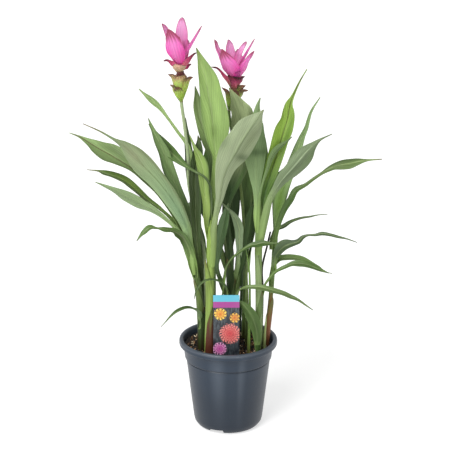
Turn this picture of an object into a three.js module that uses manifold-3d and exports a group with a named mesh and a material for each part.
// A siam tulip in a nursery pot, with its soil and a plant label.
// Millimetres, +Z up, -Y is the front. The origin is the middle of the pot's foot.
import * as THREE from "three";
import { mergeVertices } from "three/addons/utils/BufferGeometryUtils.js";
import Module from "manifold-3d";

const wasm = await Module();
wasm.setup();

// Driving dimensions: pot
const potHeight = 131;
const lipRadius = 70;
const lipHeight = 8.6;
const collarTopRadius = 63.9;
const collarFootRadius = 62.1;
const collarFootHeight = 103.5;
const wallTopRadius = 60.2;
const wallFootRadius = 49.7;
const wallFootHeight = 12.2;
const footRound = [[45.5, 2.6], [48.6, 7]];
const footRingRadius = 40;
const footRingWidth = 5;
const middlePadRadius = 15;
const floorRise = 6;
const innerFloorRadius = 45.4;
const wallThickness = 1.8;
const potSides = 32;
const notchCount = 3;
const notchFirstAngle = -112.6;
const notchSpan = 30;
const notchHeight = 7.5;

// Driving dimensions: soil
const soilLevel = 112;
const soilFloor = 8.6;
const soilFloorRadius = 44.6;
const soilClearance = 0.35;
const soilRelief = 1.6;
const holeClearance = 0.35;

// Driving dimensions: label
const labelWidth = 36.5;
const labelTop = 207;
const labelShoulder = 84;
const labelPoint = 62;
const labelThickness = 0.8;
const labelCorner = 1.5;
const labelPlace = new THREE.Vector3(-2.8, -34, 0);
const slotClearance = 0.4;

// Driving dimensions: blades and bracts
const bladeThickness = 0.9;
const tipHalfWidth = 0.5;
const leafFold = 0.3;
const leafCup = 0.12;
const lanceStations = 8;
const stemSides = 8;
const thinStem = 2;
const thinStemSides = 6;
const stemStep = 34;
const pouchForm = { fold: 0, cup: 0.42, columns: 2 };
const petalForm = { fold: 0, cup: 0.42, columns: 3 };
const crownFoot = -8;
const headFootRadius = 2.3;
const headTopRadius = 8;
const crownFootRadius = 7.5;
const crownTopRadius = 5;
const stalkRadius = 1.9;
const seatGap = 0.35;

// Colours
const slate = 0x454d55;
const earth = 0x2b211b;
const card = 0x2c3a3c;
const midGreen = 0x7da35a;
const darkGreen = 0x3f6b2f;
const lightGreen = 0xa6c574;
const greyGreen = 0x9daf86;
const pouchGreen = 0xa8c040;
const pink = 0xf56cb8;

// Solids: a closed three.js geometry becomes a manifold solid, and back.
function solid(geometry) {
  const bare = geometry.clone();
  bare.deleteAttribute("normal");
  bare.deleteAttribute("uv");
  const merged = mergeVertices(bare, 1e-4);
  const vertProperties = new Float32Array(merged.attributes.position.array);
  const triVerts = new Uint32Array(merged.index.array);
  return new wasm.Manifold(new wasm.Mesh({ numProp: 3, vertProperties, triVerts }));
}

function geometryOf(body) {
  const mesh = body.getMesh();
  const geometry = new THREE.BufferGeometry();
  geometry.setAttribute("position", new THREE.BufferAttribute(mesh.vertProperties, mesh.numProp));
  geometry.setIndex(new THREE.BufferAttribute(mesh.triVerts, 1));
  geometry.computeVertexNormals();
  return geometry;
}

function fuse(bodies) {
  return bodies.reduce((whole, body) => whole.add(body));
}

const plant = new THREE.Group();
plant.name = "potted_siam_tulip";

function addNode(name, body, color, roughness) {
  const material = new THREE.MeshStandardMaterial({ color, roughness, metalness: 0 });
  const mesh = new THREE.Mesh(geometryOf(body), material);
  mesh.name = name;
  plant.add(mesh);
}

// Curves: a smooth line through hand-placed points.
function curveThrough(points) {
  const places = points.map(([x, y, z]) => new THREE.Vector3(x, y, z));
  return new THREE.CatmullRomCurve3(places, false, "centripetal");
}

// A stem: a cylinder bent along its curve, its radius going from the first to the last value.
function stem(points, footRadius, topRadius, extra = 0) {
  const curve = curveThrough(points);
  const steps = Math.max(3, Math.round(curve.getLength() / stemStep));
  const sides = footRadius < thinStem ? thinStemSides : stemSides;
  const geometry = new THREE.CylinderGeometry(1, 1, 1, sides, steps);
  const place = geometry.attributes.position;
  const sideways = new THREE.Vector3();
  const outward = new THREE.Vector3();
  for (let i = 0; i < place.count; i += 1) {
    const along = place.getY(i) + 0.5;
    const radius = footRadius + (topRadius - footRadius) * along + extra;
    const tangent = curve.getTangentAt(along);
    sideways.set(1, 0, 0).addScaledVector(tangent, -tangent.x).normalize();
    outward.crossVectors(sideways, tangent);
    const spot = curve.getPointAt(along);
    spot.addScaledVector(sideways, place.getX(i) * radius);
    spot.addScaledVector(outward, place.getZ(i) * radius);
    place.setXYZ(i, spot.x, spot.y, spot.z);
  }
  const made = solid(geometry);
  return made.volume() > 0 ? made : solid(turnedInsideOut(geometry));
}

function turnedInsideOut(geometry) {
  const index = geometry.index.array;
  for (let i = 0; i < index.length; i += 3) {
    const held = index[i + 1];
    index[i + 1] = index[i + 2];
    index[i + 2] = held;
  }
  return geometry;
}

// A blade: a thin sheet through stations. A station is a place on the midrib, then the half-widths
// to its left and right, seen from the front. The upper face looks along a direction that turns
// from face to tipFace. The sheet is folded at the midrib and cupped across.
function blade({ stations, face, tipFace = face, columns = 2, fold = leafFold, cup = leafCup }) {
  const curve = curveThrough(stations);
  const rows = stations.length;
  const across = columns + 1;
  const reached = curve.getLengths(rows - 1);
  const faceFrom = new THREE.Vector3(...face).normalize();
  const faceTo = new THREE.Vector3(...tipFace).normalize();
  const positions = [];
  for (const layer of [1, -1]) {
    for (let i = 0; i < rows; i += 1) {
      const [x, y, z, left, right] = stations[i];
      const tangent = curve.getTangent(i / (rows - 1));
      const up = faceFrom.clone().lerp(faceTo, reached[i] / reached[rows - 1]);
      up.addScaledVector(tangent, -up.dot(tangent)).normalize();
      const sideways = new THREE.Vector3().crossVectors(tangent, up);
      for (let j = 0; j < across; j += 1) {
        const s = (2 * j) / columns - 1;
        const onRight = face[1] > 0 ? s < 0 : s > 0;
        const half = Math.max(tipHalfWidth, onRight ? right : left);
        const lift = half * (fold * Math.abs(s) + cup * s * s);
        const spot = new THREE.Vector3(x, y, z);
        spot.addScaledVector(sideways, s * half);
        spot.addScaledVector(up, lift + (layer * bladeThickness) / 2);
        positions.push(spot.x, spot.y, spot.z);
      }
    }
  }
  const sheet = rows * across;
  const index = [];
  const quad = (a, b, c, d) => index.push(a, b, c, a, c, d);
  for (let i = 0; i < rows - 1; i += 1) {
    for (let j = 0; j < columns; j += 1) {
      const a = i * across + j;
      quad(a, a + 1, a + across + 1, a + across);
      quad(sheet + a, sheet + a + across, sheet + a + across + 1, sheet + a + 1);
    }
    const left = i * across;
    const right = left + columns;
    quad(left, left + across, sheet + left + across, sheet + left);
    quad(right, sheet + right, sheet + right + across, right + across);
  }
  for (let j = 0; j < columns; j += 1) {
    const last = (rows - 1) * across + j;
    quad(j, sheet + j, sheet + j + 1, j + 1);
    quad(last, last + 1, sheet + last + 1, sheet + last);
  }
  const geometry = new THREE.BufferGeometry();
  geometry.setAttribute("position", new THREE.BufferAttribute(new Float32Array(positions), 3));
  geometry.setIndex(index);
  const made = solid(geometry);
  return made.volume() > 0 ? made : solid(turnedInsideOut(geometry));
}

// Stations of a plain lance-shaped leaf: a narrow stalk, then a blade that is widest before its
// middle and drawn out to a long point.
function lance(width, route, { stalk = 0.2, stalkHalf = 3, peak = 0.45, taper = 1.15 } = {}) {
  const curve = curveThrough(route);
  const stations = [];
  for (let i = 0; i <= lanceStations; i += 1) {
    const share = i / lanceStations;
    const t = Math.max(0, (share - stalk) / (1 - stalk));
    const swell = Math.max(0, Math.sin(Math.PI * Math.pow(t, Math.log(0.5) / Math.log(peak))));
    const half = (width / 2) * Math.pow(swell, t > peak ? taper : 1.1) + Math.pow(1 - t, 3) * stalkHalf;
    const { x, y, z } = curve.getPointAt(share);
    stations.push([x, y, z, half, half]);
  }
  return stations;
}

// Directions that an upper leaf face can look in
const toFront = [0, -1, 0.15];
const toBack = [0, 1, 0.25];
const upward = [0, -0.3, 1];

function leaf(face, stations, more = {}) {
  return { face, stations, ...more };
}

// The leafy shoots: each has its stems and the leaves that leave them.
const shoots = {
  left_outer_shoot: {
    color: greyGreen,
    stems: [
      { route: [[-39, -8, 88], [-38, -8, 104], [-38, -8, 160], [-42, -8, 212], [-50, -7, 256]],
        foot: 5, top: 4 },
    ],
    leaves: [
      leaf([0.2, -0.6, 0.8], [[-49, -6, 240, 4, 2.5], [-65, -4, 293, 3.5, 2.5], [-94, -1, 340, 4, 2.5],
        [-113, 2, 359, 4.5, 3.5], [-131, 6, 376, 7, 8], [-149, 10, 387, 13.5, 15], [-162, 14, 394, 19, 15],
        [-176, 17, 401, 17, 11.5], [-190, 20, 409, 8.5, 6.5], [-204, 23, 417, 2.5, 2],
        [-219, 27, 422, 0.5, 0.5]], { columns: 4 }),
      leaf([-0.3, 0.7, 0.4], [[-48, -10, 229, 4, 5], [-53, -13, 280, 5.5, 6], [-61, -16, 307, 7, 7.5],
        [-77, -19, 340, 11.5, 10], [-96, -21, 367, 13, 11.5], [-115, -22, 388, 15.5, 14],
        [-129, -22, 404, 12, 11], [-140, -22, 415, 6.5, 6], [-152, -21, 423, 3, 2],
        [-171, -20, 434, 1.5, 1], [-194, -18, 444, 0.5, 0.5]], { columns: 4, fold: 0.2, cup: 0.15 }),
      leaf([0.2, -0.3, 1], [[-51, -6, 240, 5, 2.5], [-72, -4, 297, 4.5, 2.5], [-94, -2, 321, 4.5, 2.5],
        [-112, 1, 334, 6.5, 3], [-128, 4, 348, 11.5, 5], [-142, 7, 359, 12, 5.5], [-156, 9, 365, 11, 5],
        [-168, 11, 368, 10, 5], [-178, 13, 371, 2.5, 1], [-195, 14, 373, 0.5, 0.5]]),
      leaf([-0.2, 0.8, 0.5], [[-49, -10, 237, 3, 2.5], [-67, -10, 288, 3, 2.5], [-87, -8, 309, 3.5, 3],
        [-105, -7, 322, 7, 5.5], [-121, -5, 330, 14, 8], [-138, -3, 339, 13.5, 7.5], [-156, -1, 348, 8, 4],
        [-169, 2, 353, 4.5, 2], [-183, 4, 358, 0.5, 0.5]], { fold: 0.25 }),
      leaf([0, -0.5, 1], [[-46, -10, 223, 5, 4], [-53, -14, 263, 5.5, 6], [-62, -18, 284, 7, 6],
        [-76, -24, 296, 8, 4], [-86, -29, 300, 7, 3], [-97, -33, 303, 3, 1.5], [-106, -37, 305, 9.5, 5],
        [-114, -40, 299, 9, 4.5], [-119, -42, 294, 4.5, 2.5],
        [-124, -44, 288, 0.5, 0.5]], { tipFace: [-0.8, -0.4, 0.4], fold: 0.25, cup: 0.1 }),
      leaf([0, -0.2, 1], lance(6.5, [[-38, -9, 138], [-41, -20, 174], [-53, -30, 186], [-71, -42, 185],
        [-93, -50, 166]], { stalk: 0.2, stalkHalf: 1.6 }), { tipFace: [-0.6, -0.2, 0.7] }),
    ],
  },
  left_inner_shoot: {
    color: darkGreen,
    stems: [
      { route: [[-35, 10, 88], [-35, 10, 97], [-34, 10, 183], [-37, 11, 258], [-45, 12, 298]],
        foot: 4.6, top: 3.6 },
    ],
    leaves: [
      leaf(toFront, [[-37, 9, 241, 4, 4.5], [-51, 8, 285, 5.5, 6], [-61, 8, 321, 7.5, 7],
        [-72, 9, 351, 8.5, 7], [-82, 10, 376, 8.5, 8.5], [-89, 11, 399, 6.5, 8], [-96, 12, 415, 5.5, 5.5],
        [-103, 13, 430, 2.5, 3], [-109, 14, 445, 0.5, 0.5]], { columns: 4, fold: 0.45 }),
      leaf(toFront, [[-37, 13, 250, 2, 2], [-44, 26, 321, 2, 2], [-56, 36, 401, 2.5, 2],
        [-70, 38, 421, 2, 2], [-85, 40, 442, 2, 2], [-94, 41, 454, 3, 3], [-101, 41, 461, 4, 4],
        [-109, 41, 468, 3.5, 3.5], [-116, 40, 474, 1.5, 2], [-123, 40, 481, 0.5, 0.5]]),
      leaf([0.3, -0.4, 0.8], lance(30, [[-37, 14, 240], [-48, 34, 290], [-62, 66, 328], [-76, 108, 346],
        [-86, 150, 340], [-92, 188, 316]])),
      leaf([0.6, -0.2, 0.6], lance(26, [[-36, 15, 220], [-46, 36, 290], [-56, 66, 350], [-60, 96, 396],
        [-62, 124, 424]])),
    ],
  },
  front_shoot: {
    color: lightGreen,
    stems: [
      { route: [[-27, -26, 88], [-27, -26, 107], [-25, -24, 196], [-25, -22, 268], [-24, -20, 320]],
        foot: 6, top: 5 },
    ],
    leaves: [
      leaf(toFront, [[-25, -22, 280, 4.5, 5], [-30, -20, 335, 5.5, 5.5], [-33, -19, 358, 6.5, 6.5],
        [-34, -18, 378, 7.5, 7.5], [-39, -16, 394, 6, 6], [-44, -14, 406, 3.5, 3.5],
        [-48, -13, 415, 1.5, 1.5], [-52, -12, 429, 0.5, 0.5]]),
      leaf(toFront, [[-24, -18, 270, 5.5, 5.5], [-18, -14, 380, 4, 4], [-17, -13, 404, 4.5, 8],
        [-19, -11, 423, 9, 15], [-21, -9, 440, 13, 20], [-23, -6, 460, 14, 19], [-27, -2, 480, 11.5, 16.5],
        [-30, 2, 499, 9.5, 13.5], [-35, 6, 515, 6, 9.5], [-39, 9, 528, 2.5, 5],
        [-43, 12, 541, 0.5, 0.5]], { columns: 4, fold: 0.12, cup: 0.16 }),
      leaf(toFront, [[-24, -18, 266, 3, 3], [-22, -10, 303, 3, 3], [-20, -3, 356, 2.5, 2.5],
        [-21, 2, 383, 3.5, 3.5], [-27, 7, 402, 6, 7.5], [-33, 9, 419, 6.5, 9], [-38, 11, 436, 6.5, 9],
        [-41, 12, 454, 5, 8], [-42, 13, 470, 5.5, 6], [-44, 14, 480, 2.5, 3], [-45, 14, 489, 0.5, 0.5]]),
      leaf(toFront, [[-22, -18, 300, 2.5, 2.5], [-21, -10, 343, 2.5, 2.5], [-35, 6, 363, 2.5, 3],
        [-49, 14, 372, 3, 3.5], [-60, 20, 381, 6, 7], [-71, 25, 391, 7.5, 8.5], [-83, 29, 403, 6.5, 8],
        [-94, 32, 415, 4.5, 5.5], [-108, 36, 437, 0.5, 0.5]]),
      leaf(toBack, [[-22, -25, 251, 5.5, 5.5], [-15, -28, 306, 5, 5.5], [-13, -29, 335, 6, 6.5],
        [-10, -31, 356, 8.5, 8], [-6, -32, 373, 11.5, 10], [1, -34, 391, 18, 13], [9, -36, 408, 21, 19.5],
        [19, -39, 427, 18.5, 20.5], [29, -41, 443, 16, 17.5], [37, -43, 455, 9.5, 9],
        [42, -44, 463, 3, 3.5], [46, -45, 468, 0.5, 0.5]], { columns: 4, fold: 0.2, cup: 0.2 }),
    ],
  },
  middle_shoot: {
    color: darkGreen,
    stems: [
      { route: [[4, 14, 88], [4, 14, 113], [4, 14, 197], [2, 14, 257], [-2, 14, 298]],
        foot: 5.4, top: 4.4 },
    ],
    leaves: [
      leaf(toFront, [[3, 12, 180, 3, 3], [-16, 3, 234, 3, 3], [-14, 2, 253, 4, 4], [-12, 1, 271, 5.5, 5.5],
        [-9, 1, 287, 6.5, 6.5], [-6, 1, 302, 7, 6.5], [-3, 2, 316, 4.5, 4.5], [0, 3, 328, 0.5, 0.5]]),
      leaf(toFront, [[5, 15, 191, 3, 3], [14, 13, 236, 3, 3], [16, 11, 258, 4.5, 4], [15, 9, 276, 5.5, 5.5],
        [15, 7, 291, 6.5, 6], [11, 4, 304, 5.5, 5.5], [5, 2, 314, 2.5, 3.5], [-2, 1, 322, 1.5, 1.5],
        [-9, 0, 330, 0.5, 0.5]]),
      leaf(toBack, lance(22, [[4, 16, 230], [4, 30, 304], [9, 40, 340], [18, 52, 376]])),
      leaf(toBack, lance(18, [[-1, 17, 224], [-22, 17, 290], [-37, 19, 333], [-43, 22, 369],
        [-38, 26, 419]])),
      leaf(toBack, [[4, 14, 240, 5, 5], [15, 12, 316, 6, 6.5], [20, 10, 374, 9.5, 10],
        [20, 11, 415, 15.5, 15.5], [16, 13, 443, 12.5, 18.5], [15, 13, 451, 11.5, 18.5],
        [12, 14, 460, 10, 14.5], [9, 14, 470, 6, 8], [5, 13, 479, 3, 3.5],
        [1, 13, 487, 0.5, 0.5]], { columns: 4, fold: 0.2, cup: 0.2 }),
      leaf(toBack, lance(16, [[6, 18, 200], [24, 32, 268], [32, 36, 297], [37, 40, 328]])),
    ],
  },
  right_inner_shoot: {
    color: greyGreen,
    stems: [
      { route: [[43, -14, 88], [43, -14, 114], [43, -12, 192], [42, -10, 265], [42, -8, 322]],
        foot: 3.6, top: 5.2 },
    ],
    leaves: [
      leaf(toBack, [[42, -8, 290, 6, 6], [40, -8, 336, 5, 4.5], [39, -8, 350, 5.5, 5],
        [38, -7, 364, 8.5, 7.5], [38, -6, 380, 12.5, 10], [37, -4, 395, 15, 13.5], [37, -2, 409, 14, 15],
        [37, 1, 425, 12, 12], [39, 4, 445, 8, 7], [40, 8, 462, 3.5, 2.5],
        [43, 10, 474, 0.5, 0.5]], { columns: 4, fold: 0.2, cup: 0.2 }),
      leaf(toFront, [[41, -6, 271, 4.5, 4], [46, -5, 321, 5, 4.5], [51, -3, 349, 6.5, 6],
        [57, 0, 368, 9.5, 8.5], [63, 4, 386, 11.5, 9], [68, 7, 402, 12, 9.5], [72, 9, 416, 13, 10],
        [76, 10, 430, 13, 11.5], [80, 12, 443, 9.5, 9.5], [82, 13, 455, 8.5, 7.5], [84, 14, 465, 7, 3],
        [87, 15, 474, 3, 2], [97, 18, 496, 1, 1], [106, 20, 511, 0.5, 0.5]], { fold: 0.35 }),
      leaf(toBack, [[41, -12, 259, 4, 4.5], [50, -18, 313, 4, 4.5], [56, -21, 339, 4, 4.5],
        [64, -23, 355, 5, 5], [73, -26, 370, 8, 9], [84, -28, 384, 8.5, 15], [94, -31, 397, 10, 17.5],
        [104, -33, 410, 7.5, 13.5], [113, -34, 419, 4, 6], [121, -35, 426, 1.5, 2.5],
        [137, -36, 434, 0.5, 0.5]], { columns: 4, fold: 0.2, cup: 0.2 }),
    ],
  },
  right_outer_shoot: {
    color: midGreen,
    stems: [
      { route: [[50, 2, 88], [53, 2, 110], [58, 3, 163], [62, 4, 216], [64, 4, 260]],
        foot: 3.8, top: 3.4 },
    ],
    leaves: [
      leaf(toFront, [[64, 5, 241, 3.5, 3.5], [64, 7, 285, 4.5, 4], [70, 10, 316, 8, 7.5],
        [74, 13, 337, 7.5, 7.5], [79, 16, 355, 7.5, 7.5], [85, 19, 371, 7.5, 7.5], [91, 22, 388, 6.5, 6.5],
        [97, 25, 404, 5.5, 5.5], [102, 28, 417, 4, 4], [107, 30, 428, 3, 3], [114, 34, 450, 2, 1.5],
        [126, 36, 470, 0.5, 0.5]]),
      leaf(upward, [[63, 3, 240, 2, 3], [67, -3, 294, 2, 4], [76, -6, 321, 3, 6.5], [84, -7, 336, 3, 6.5],
        [92, -9, 350, 4, 5.5], [104, -11, 358, 2, 4], [116, -13, 368, 1.5, 3], [127, -14, 376, 1.5, 3],
        [135, -15, 381, 4, 8.5], [143, -16, 385, 4, 8], [153, -18, 388, 6, 13], [164, -19, 390, 6.5, 14.5],
        [174, -21, 393, 5, 10], [185, -22, 395, 2, 4], [206, -24, 397, 0.5, 0.5]]),
      leaf(upward, [[60, 5, 260, 2, 2.5], [62, 7, 280, 2, 3], [68, 9, 289, 3, 6.5], [76, 10, 292, 2.5, 5.5],
        [86, 12, 298, 2, 4.5], [96, 13, 302, 2, 4.5], [104, 14, 304, 1.5, 3.5], [114, 16, 305, 1.5, 3],
        [125, 17, 307, 1, 1.5], [139, 18, 308, 0.5, 0.5]]),
      leaf([0, -1, 0.3], [[63, 3, 228, 3, 3], [66, -5, 254, 4.5, 4.5], [76, -11, 269, 9, 6],
        [82, -13, 273, 7.5, 6], [89, -15, 276, 4, 5.5], [96, -17, 279, 3.5, 4.5], [102, -19, 286, 2.5, 4],
        [109, -20, 289, 1.5, 2], [119, -21, 290, 1.5, 3], [128, -22, 292, 2.5, 4.5],
        [139, -24, 291, 2, 4.5], [150, -25, 288, 2, 4], [162, -27, 286, 1, 2.5],
        [176, -28, 281, 0.5, 0.5]], { tipFace: upward }),
      leaf(upward, [[60, 5, 205, 2.5, 3], [63, 7, 235, 2.5, 3], [70, 8, 245, 3.5, 7.5],
        [81, 9, 247, 3.5, 7.5], [92, 9, 247, 3.5, 8], [102, 8, 245, 4, 8], [111, 8, 241, 3.5, 7.5],
        [119, 7, 237, 3, 6.5], [128, 5, 233, 2.5, 4.5], [136, 3, 228, 1, 2],
        [146, 2, 226, 0.5, 0.5]], { tipFace: [0.5, -0.3, 0.8] }),
      leaf([-0.5, -0.3, 0.7], lance(22, [[64, 8, 235], [71, 38, 290], [83, 76, 332], [95, 116, 352],
        [105, 152, 346]])),
    ],
  },
  rolled_leaf: {
    color: lightGreen,
    stems: [
      { route: [[29, -16, 88], [29, -16, 111], [30, -15, 193], [29, -14, 237], [24, -14, 270]],
        foot: 3, top: 0.8 },
    ],
    leaves: [],
  },
  dry_stalk: {
    color: darkGreen,
    stems: [
      { route: [[47, 9, 88], [48, 9, 138], [49, 10, 199], [48, 10, 232], [55, 12, 265], [59, 13, 284]],
        foot: 1.5, top: 0.8 },
    ],
    leaves: [],
  },
  short_sheath: {
    color: lightGreen,
    stems: [
      { route: [[51, -12, 88], [51, -12, 116], [52, -13, 147], [53, -14, 168]],
        foot: 2.5, top: 0.9 },
    ],
    leaves: [],
  },
  broad_young_leaf: {
    color: midGreen,
    stems: [
      { route: [[42, -27, 88], [42, -27, 112], [41, -27, 130]],
        foot: 3.4, top: 3 },
    ],
    leaves: [
      leaf(toBack, [[42, -27, 118, 3, 3], [41, -27, 130, 4, 4], [40, -27, 148, 7, 6.5],
        [36, -28, 165, 9, 8], [30, -28, 178, 8.5, 6.5], [25, -29, 187, 6.5, 4.5],
        [17, -29, 194, 0.5, 0.5]]),
    ],
  },
  label_sprout: {
    color: darkGreen,
    stems: [
      { route: [[2, -20, 88], [1, -20, 135], [-1, -22, 190], [-2, -24, 202]],
        foot: 1.6, top: 1.2 },
    ],
    leaves: [
      leaf(upward, [[0, -22, 189, 1.5, 1.5], [-2, -24, 209, 1.5, 1.5], [-7, -28, 220, 4.5, 3.5],
        [-16, -32, 227, 4.5, 3], [-27, -37, 230, 5, 2.5], [-36, -39, 226, 5.5, 3],
        [-43, -39, 216, 4.5, 2.5], [-47, -39, 203, 0.5, 0.5]], { tipFace: [-0.8, -0.2, 0.5] }),
    ],
  },
  crossing_sprout: {
    color: midGreen,
    stems: [
      { route: [[-12, -8, 88], [-12, -8, 112], [-9, -8, 188], [-4, -11, 228]],
        foot: 1.7, top: 1.1 },
    ],
    leaves: [
      leaf([0, -0.6, 0.9], [[-7, -9, 210, 1.5, 1.5], [-3, -12, 239, 1.5, 2], [5, -16, 254, 1.5, 3],
        [15, -21, 265, 1.5, 3.5], [23, -24, 272, 2, 4], [30, -25, 276, 3, 5.5], [38, -26, 278, 4, 7.5],
        [46, -27, 280, 4, 7.5], [54, -28, 280, 2.5, 5], [62, -28, 280, 1, 2], [72, -29, 281, 0.5, 0.5]]),
    ],
  },
  right_sprout: {
    color: midGreen,
    stems: [
      { route: [[49, -4, 88], [49, -4, 112], [48, -4, 189], [51, -7, 208]],
        foot: 1.5, top: 1.3 },
    ],
    leaves: [
      leaf([0, -0.5, 1], [[47, -5, 195, 1.5, 2.5], [51, -8, 212, 1.5, 2.5], [58, -11, 224, 2, 3.5],
        [65, -13, 233, 2, 4.5], [73, -15, 239, 2, 4], [81, -16, 243, 1.5, 4], [89, -18, 247, 2.5, 6],
        [99, -20, 248, 4, 9], [109, -22, 247, 4, 9], [118, -23, 244, 3, 7], [128, -25, 240, 2, 4.5],
        [139, -26, 236, 0.5, 0.5]], { tipFace: [0.5, -0.4, 0.8] }),
    ],
  },
  low_sprout: {
    color: midGreen,
    stems: [
      { route: [[14, -6, 88], [14, -6, 112], [10, -10, 170], [11, -14, 198]],
        foot: 1.7, top: 1.2 },
    ],
    leaves: [
      leaf([0, -0.5, 1], [[9, -12, 186, 1.5, 2.5], [14, -16, 205, 2, 4.5], [23, -23, 214, 2.5, 5.5],
        [33, -26, 216, 3, 6.5], [44, -29, 217, 3.5, 8.5], [55, -31, 215, 4, 9], [66, -32, 212, 4, 9.5],
        [77, -34, 209, 3.5, 8], [86, -35, 205, 3, 6.5], [96, -37, 201, 2, 4.5], [106, -38, 194, 1.5, 3],
        [117, -40, 187, 0.5, 0.5]], { tipFace: [0.5, -0.4, 0.8] }),
    ],
  },
  back_left_shoot: {
    color: midGreen,
    stems: [
      { route: [[-22, 36, 88], [-22, 36, 112], [-22, 38, 200], [-20, 40, 270]],
        foot: 5, top: 4 },
    ],
    leaves: [
      leaf([0, -1, 0.3], lance(36, [[-21, 40, 250], [-20, 50, 330], [-18, 66, 392],
        [-22, 90, 440]]), { fold: 0.35 }),
      leaf([0.2, -0.7, 0.8], lance(34, [[-22, 41, 240], [-30, 70, 310], [-44, 108, 356], [-58, 152, 368],
        [-70, 196, 350]]), { fold: 0.35 }),
      leaf([0.8, -0.2, 0.8], lance(26, [[-25, 39, 220], [-46, 52, 270], [-78, 68, 306], [-104, 94, 330],
        [-128, 122, 326]]), { fold: 0.35 }),
    ],
  },
  back_right_shoot: {
    color: midGreen,
    stems: [
      { route: [[24, 38, 88], [24, 38, 112], [24, 40, 200], [26, 42, 262]],
        foot: 4.8, top: 4 },
    ],
    leaves: [
      leaf([0, -1, 0.3], lance(34, [[26, 42, 245], [34, 56, 320], [44, 78, 380],
        [50, 104, 420]]), { fold: 0.35 }),
      leaf([-0.2, -0.7, 0.8], lance(30, [[25, 43, 230], [30, 74, 296], [36, 118, 336], [42, 162, 338],
        [46, 200, 314]]), { fold: 0.35 }),
      leaf([-0.8, -0.2, 0.8], lance(22, [[27, 41, 215], [42, 54, 285], [66, 68, 340],
        [94, 84, 372]]), { fold: 0.35 }),
    ],
  },
};

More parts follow.
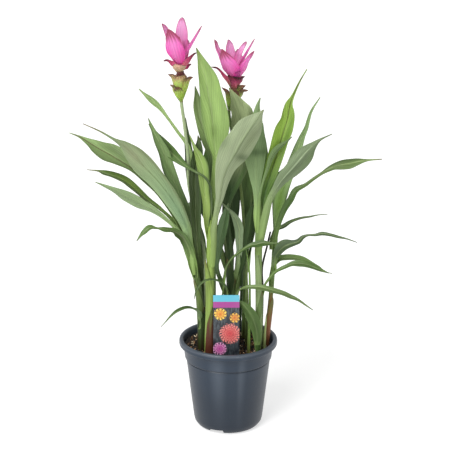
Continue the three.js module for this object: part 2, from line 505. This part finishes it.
// The flowers: a stalk with green pouched bracts, and a crown of pink bracts above it. A bract has
// stations from the head's middle: x, y, z and half-width. The cone of the head rises through three places.
const flowers = {
  left_flower: {
    middle: [-65.5, 0, 521],
    stalk: [[-33, 3, 88], [-33, 3, 125], [-34, 0, 261], [-45, -2, 313], [-54, -4, 356], [-55, -4, 398],
      [-61, -2, 446]],
    cone: [[0, 0, -50], [0, 0, -35], [0, 0, -14]],
    pouches: [
      [[-2, -2, -50, 2], [-6, -4, -44, 6], [-9, -6, -36, 7.5], [-11, -7, -29, 4.5], [-13.5, -7, -26, 0.5]],
      [[0, -3, -50, 2], [-1, -7, -43, 6], [-3, -9.5, -36, 7], [-4, -12.5, -30, 4], [-4, -14, -26, 0.5]],
      [[1, 2, -50, 2], [1, 7, -43, 7], [1, 10, -35, 8], [1, 12, -29, 5], [1, 14, -26, 0.5]],
      [[-2, -1, -49, 3], [-6.5, -3, -41, 8], [-10, -4.5, -32, 11], [-11.5, -5, -23, 11.5],
       [-14, -5, -16, 7], [-17.5, -5, -12, 0.6]],
      [[2, -1, -49, 3], [6.5, -2.5, -41, 8], [10, -4, -32, 11], [11.5, -4, -24, 11.5], [14, -4, -18.5, 7],
       [17.5, -3.5, -16, 0.6]],
      [[0, -2.5, -47, 3], [1, -8, -40, 8], [1.5, -11, -32, 10.5], [2, -12, -24, 10.5], [2, -13.5, -18, 7],
       [2, -15.5, -14, 0.6]],
      [[0, 2.5, -47, 3], [-1, 8, -40, 8], [-1, 11, -31, 11], [-1, 12.5, -23, 11], [-1, 14, -17, 7],
       [-1, 16, -13, 0.6]],
    ],
    collar: [
      [[-5, -3, -6, 4], [-10, -5, -1, 8], [-15, -6, 3, 6.5], [-19, -5, 4.5, 3.5], [-23.5, -4, 4, 0.5]],
      [[5, -3, -7, 4], [10, -5, -1, 9], [15, -6, 6, 8], [19, -5, 11, 4.5], [23, -4, 15, 0.5]],
      [[0, -4, -8, 4], [1, -9, -3, 9], [2, -12.5, 2, 8], [3, -16, 5, 4], [4, -20, 5, 0.5]],
      [[-1, 5, -7, 4], [-2, 11, 0, 8], [-2, 16, 6, 5], [-2, 20, 9, 0.5]],
    ],
    petals: [
      [[-2, -5, -5, 3.5], [-6, -11, 4, 10], [-9, -14, 14, 15], [-11.5, -15, 25, 15.5], [-14, -14, 35, 10.5],
       [-18.5, -12, 47, 0.8]],
      [[3, -2, -4, 3], [7, -4, 6, 7], [12, -6, 18, 9], [17.5, -6, 30, 8], [22.5, -4, 40, 5],
       [29, -1, 50, 0.6]],
      [[1, 4, -4, 3], [1, 6, 8, 7], [2, 8, 22, 10.5], [2, 9, 37, 10.5], [2, 8, 49, 7], [2, 7, 60.5, 0.8]],
      [[-4, 3, -3, 3], [-9, 5, 8, 8], [-14, 6, 22, 10], [-18, 6, 35, 9], [-22.5, 5, 45, 5],
       [-26, 4, 52, 0.6]],
      [[3, 4, -4, 3], [6, 10, 8, 8], [8, 14, 19, 9], [9, 17, 27, 6], [9, 18, 33, 0.6]],
      [[-2, 5, -4, 3], [-3, 11, 8, 8], [-3, 15, 20, 10], [-3, 18, 30, 6], [-2, 19, 37, 0.6]],
    ],
  },
  right_flower: {
    middle: [9, 38, 497],
    stalk: [[26, 14, 88], [26, 14, 122], [27, 16, 183], [23, 22, 265], [19, 30, 329], [12, 36, 378],
      [5, 38, 420]],
    cone: [[-8, 0, -46], [-5, 0, -33], [0, 0, -14]],
    pouches: [
      [[-9, -1, -45, 2.5], [-10, -4, -37, 6], [-11, -6, -28, 8], [-13, -7, -19, 6], [-18, -8, -12.5, 0.6]],
      [[-8, -3, -45, 2.5], [-6, -7, -37, 7], [-4, -10, -28, 9.5], [-1, -11.5, -20, 7.5],
       [1, -13, -14, 0.6]],
      [[-6, -1, -45, 2.5], [-1, -3, -37, 7], [4, -4, -28, 8.5], [9, -5, -22, 6], [12, -5, -18, 3],
       [18, -4, -17.5, 0.6]],
      [[-4, -1, -30, 3], [3, -4, -21, 7], [9, -5, -14, 5], [14.5, -4, -10.5, 0.6]],
      [[-8, 1, -45, 2.5], [-5, 7, -36, 8], [-1, 11, -25, 9], [1, 13, -16, 0.6]],
    ],
    collar: [
      [[-4, -4, -6, 4], [-11, -7, -2, 7], [-17, -9, 5, 7], [-22, -11, 11, 4.5], [-27, -12, 15, 2.5],
       [-32, -12, 16, 0.5]],
      [[1, -5, -6, 4], [2, -9, -4, 9], [3, -11.5, 0, 10], [5, -13, 4, 6.5], [7, -14, 7, 0.6]],
      [[1, 5, -6, 4], [2, 11, -2, 8], [2, 15, 4, 5], [2, 19, 8, 0.5]],
    ],
    petals: [
      [[-1, -6, -5, 4], [-5, -11, 3, 10], [-8.5, -14, 12, 13.5], [-11, -15.5, 23, 13], [-13, -15, 31, 9.5],
       [-17, -13, 39, 0.8]],
      [[-4, 1, -2, 4], [-10, 3, 8, 8], [-17, 4, 20, 9], [-22, 4, 31, 9], [-25.5, 4, 41, 6.5],
       [-28, 4, 50, 0.6]],
      [[-2, 4, 0, 3], [-5, 7, 12, 7], [-8, 8, 25, 8.5], [-9, 8, 38, 6.5], [-9, 6, 50, 0.6]],
      [[-4, 5, 2, 3], [-10, 8, 14, 5], [-14, 9, 28, 5], [-15, 8, 43, 0.5]],
      [[0, 3, 0, 3], [2, 5, 12, 6], [4, 6, 23, 7.5], [9, 6, 35, 5.5], [15, 6, 47, 0.6]],
      [[3, -1, -2, 3], [6, -2, 12, 6], [10, -3, 24, 6], [17, -3, 38, 3.5], [26, -2, 52, 0.5]],
      [[3, -5, -4, 4], [6, -9, 4, 8.5], [11, -11, 13, 9.5], [17, -11, 23, 8], [22, -10.5, 31, 4],
       [26.5, -10, 37.5, 0.5]],
      [[1, 5, -3, 4], [3, 12, 8, 8], [4, 16, 20, 9], [4, 19, 30, 5], [4, 20, 36, 0.6]],
    ],
  },
};

const holes = [];

function shootNode(name, { color, stems, leaves }) {
  const bodies = stems.map(({ route, foot, top }) => stem(route, foot, top));
  for (const { route, foot, top } of stems) holes.push(stem(route, foot, top, holeClearance));
  for (const spec of leaves) bodies.push(blade(spec));
  addNode(name, fuse(bodies), color, 0.55);
}

// A bract of a flower head: a blade cupped towards the head's axis, where its widest station looks.
function flowerBract(middle, places, form) {
  const widest = places.reduce((best, place) => (place[3] > best[3] ? place : best));
  const reach = Math.hypot(widest[0], widest[1]);
  const face = [-widest[0] / reach, -widest[1] / reach, 0.25];
  const stations = places.map(([x, y, z, half]) => [middle[0] + x, middle[1] + y, middle[2] + z, half, half]);
  return blade({ stations, face, ...form });
}

function flowerNodes(name, { middle, stalk, cone, pouches, collar, petals }) {
  const near = ([x, y, z]) => [middle[0] + x, middle[1] + y, middle[2] + z];
  const stalkRoute = [...stalk, near(cone[0])];
  const head = [...cone.map(near), near([0, 0, crownFoot - seatGap])];
  const green = [stem(stalkRoute, stalkRadius, stalkRadius), stem(head, headFootRadius, headTopRadius)];
  green.push(...pouches.map((pouch) => flowerBract(middle, pouch, pouchForm)));
  const heart = [near([0, 0, crownFoot]), near([0, 0, crownFoot + 6]), near([0, 0, crownFoot + 14])];
  const crown = [stem(heart, crownFootRadius, crownTopRadius)];
  crown.push(...collar.map((bract) => flowerBract(middle, bract, pouchForm)));
  crown.push(...petals.map((petal) => flowerBract(middle, petal, petalForm)));
  holes.push(stem(stalkRoute, stalkRadius, stalkRadius, holeClearance));
  addNode(name + "_stalk", fuse(green), pouchGreen, 0.55);
  addNode(name + "_crown", fuse(crown), pink, 0.5);
}

for (const [name, shoot] of Object.entries(shoots)) shootNode(name, shoot);
for (const [name, flower] of Object.entries(flowers)) flowerNodes(name, flower);

// The pot
function lathe(profile, sides) {
  const points = profile.map(([r, z]) => new THREE.Vector2(r, z));
  return solid(new THREE.LatheGeometry(points, sides).rotateX(Math.PI / 2));
}

function potBody() {
  const lipFoot = potHeight - lipHeight;
  const inner = collarTopRadius - wallThickness;
  const ringInner = footRingRadius - footRingWidth;
  const profile = [
    [0, 0],
    [middlePadRadius, 0],
    [middlePadRadius + 2, floorRise],
    [ringInner - 2, floorRise],
    [ringInner, 0],
    [footRingRadius, 0],
    ...footRound,
    [wallFootRadius, wallFootHeight],
    [wallTopRadius, collarFootHeight - 2],
    [collarFootRadius, collarFootHeight],
    [collarTopRadius, lipFoot - 2.4],
    [lipRadius - 1.2, lipFoot],
    [lipRadius, lipFoot + 2],
    [lipRadius, potHeight - 3.4],
    [lipRadius - 3, potHeight],
    [inner + 3.4, potHeight],
    [inner + 1.8, potHeight - 1.6],
    [inner, lipFoot - 2],
    [wallTopRadius - wallThickness, collarFootHeight - 2],
    [wallFootRadius - wallThickness, wallFootHeight],
    [innerFloorRadius, floorRise + wallThickness],
    [0, floorRise + wallThickness],
  ];
  let body = lathe(profile, potSides);
  for (let i = 0; i < notchCount; i += 1) {
    const angle = THREE.MathUtils.degToRad(notchFirstAngle + (i * 360) / notchCount);
    const halfLength = footRingRadius * Math.sin(THREE.MathUtils.degToRad(notchSpan / 2)) + 1;
    const outline = new THREE.Shape();
    outline.moveTo(-halfLength - 2, -1);
    outline.lineTo(halfLength, -1);
    outline.lineTo(halfLength, notchHeight);
    outline.lineTo(-halfLength * 0.6, notchHeight - 0.8);
    outline.closePath();
    const wedge = new THREE.ExtrudeGeometry(outline, { depth: 20, bevelEnabled: false });
    wedge.rotateX(Math.PI / 2);
    wedge.translate(0, -(footRingRadius - footRingWidth + 3.2), 0);
    wedge.rotateZ(angle + Math.PI / 2);
    body = body.subtract(solid(wedge));
  }
  return body;
}

// The soil: a plug that fills the pot, with a crumbly top and plain holes for what stands in it.
function soilBody() {
  const wallInner = wallTopRadius - wallThickness - soilClearance;
  const collarInner = collarTopRadius - wallThickness - soilClearance;
  const wallTop = collarFootHeight - 2;
  const rise = (soilLevel - wallTop) / (potHeight - lipHeight - 2 - wallTop);
  const topRadius = wallInner + (collarInner - wallInner) * rise;
  const profile = [
    [0, soilFloor],
    [soilFloorRadius, soilFloor],
    [wallFootRadius - wallThickness - soilClearance, wallFootHeight],
    [wallInner, wallTop],
    [topRadius, soilLevel],
    [topRadius * 0.84, soilLevel + 0.6],
    [topRadius * 0.5, soilLevel + 1],
    [0, soilLevel + 1],
  ];
  const points = profile.map(([r, z]) => new THREE.Vector2(r, z));
  const geometry = new THREE.LatheGeometry(points, potSides).rotateX(Math.PI / 2);
  const place = geometry.attributes.position;
  for (let i = 0; i < place.count; i += 1) {
    const x = place.getX(i);
    const y = place.getY(i);
    const nearWall = Math.hypot(x, y) > topRadius - 1;
    if (place.getZ(i) > soilLevel - 1 && !nearWall) {
      const bump = Math.sin(x * 0.21 + 1) * Math.cos(y * 0.17) + 0.5 * Math.sin(x * 0.5 - y * 0.43);
      place.setZ(i, place.getZ(i) + soilRelief * bump);
    }
  }
  return solid(geometry);
}

// The label: a card with a pointed foot.
function labelBody(extra = 0) {
  const half = labelWidth / 2 + extra;
  const top = labelTop + extra;
  const outline = new THREE.Shape();
  outline.moveTo(0, labelPoint - extra);
  outline.lineTo(half, labelShoulder);
  outline.lineTo(half, top - labelCorner);
  outline.quadraticCurveTo(half, top, half - labelCorner, top);
  outline.lineTo(-half + labelCorner, top);
  outline.quadraticCurveTo(-half, top, -half, top - labelCorner);
  outline.lineTo(-half, labelShoulder);
  outline.closePath();
  const depth = labelThickness + 2 * extra;
  const geometry = new THREE.ExtrudeGeometry(outline, { depth, bevelEnabled: false, curveSegments: 3 });
  geometry.translate(0, 0, -depth / 2).rotateX(Math.PI / 2);
  geometry.translate(labelPlace.x, labelPlace.y, labelPlace.z);
  return solid(geometry);
}

addNode("label", labelBody(), card, 0.4);
holes.push(labelBody(slotClearance));
addNode("soil", holes.reduce((body, hole) => body.subtract(hole), soilBody()), earth, 0.95);
addNode("pot", potBody(), slate, 0.5);

export default plant;
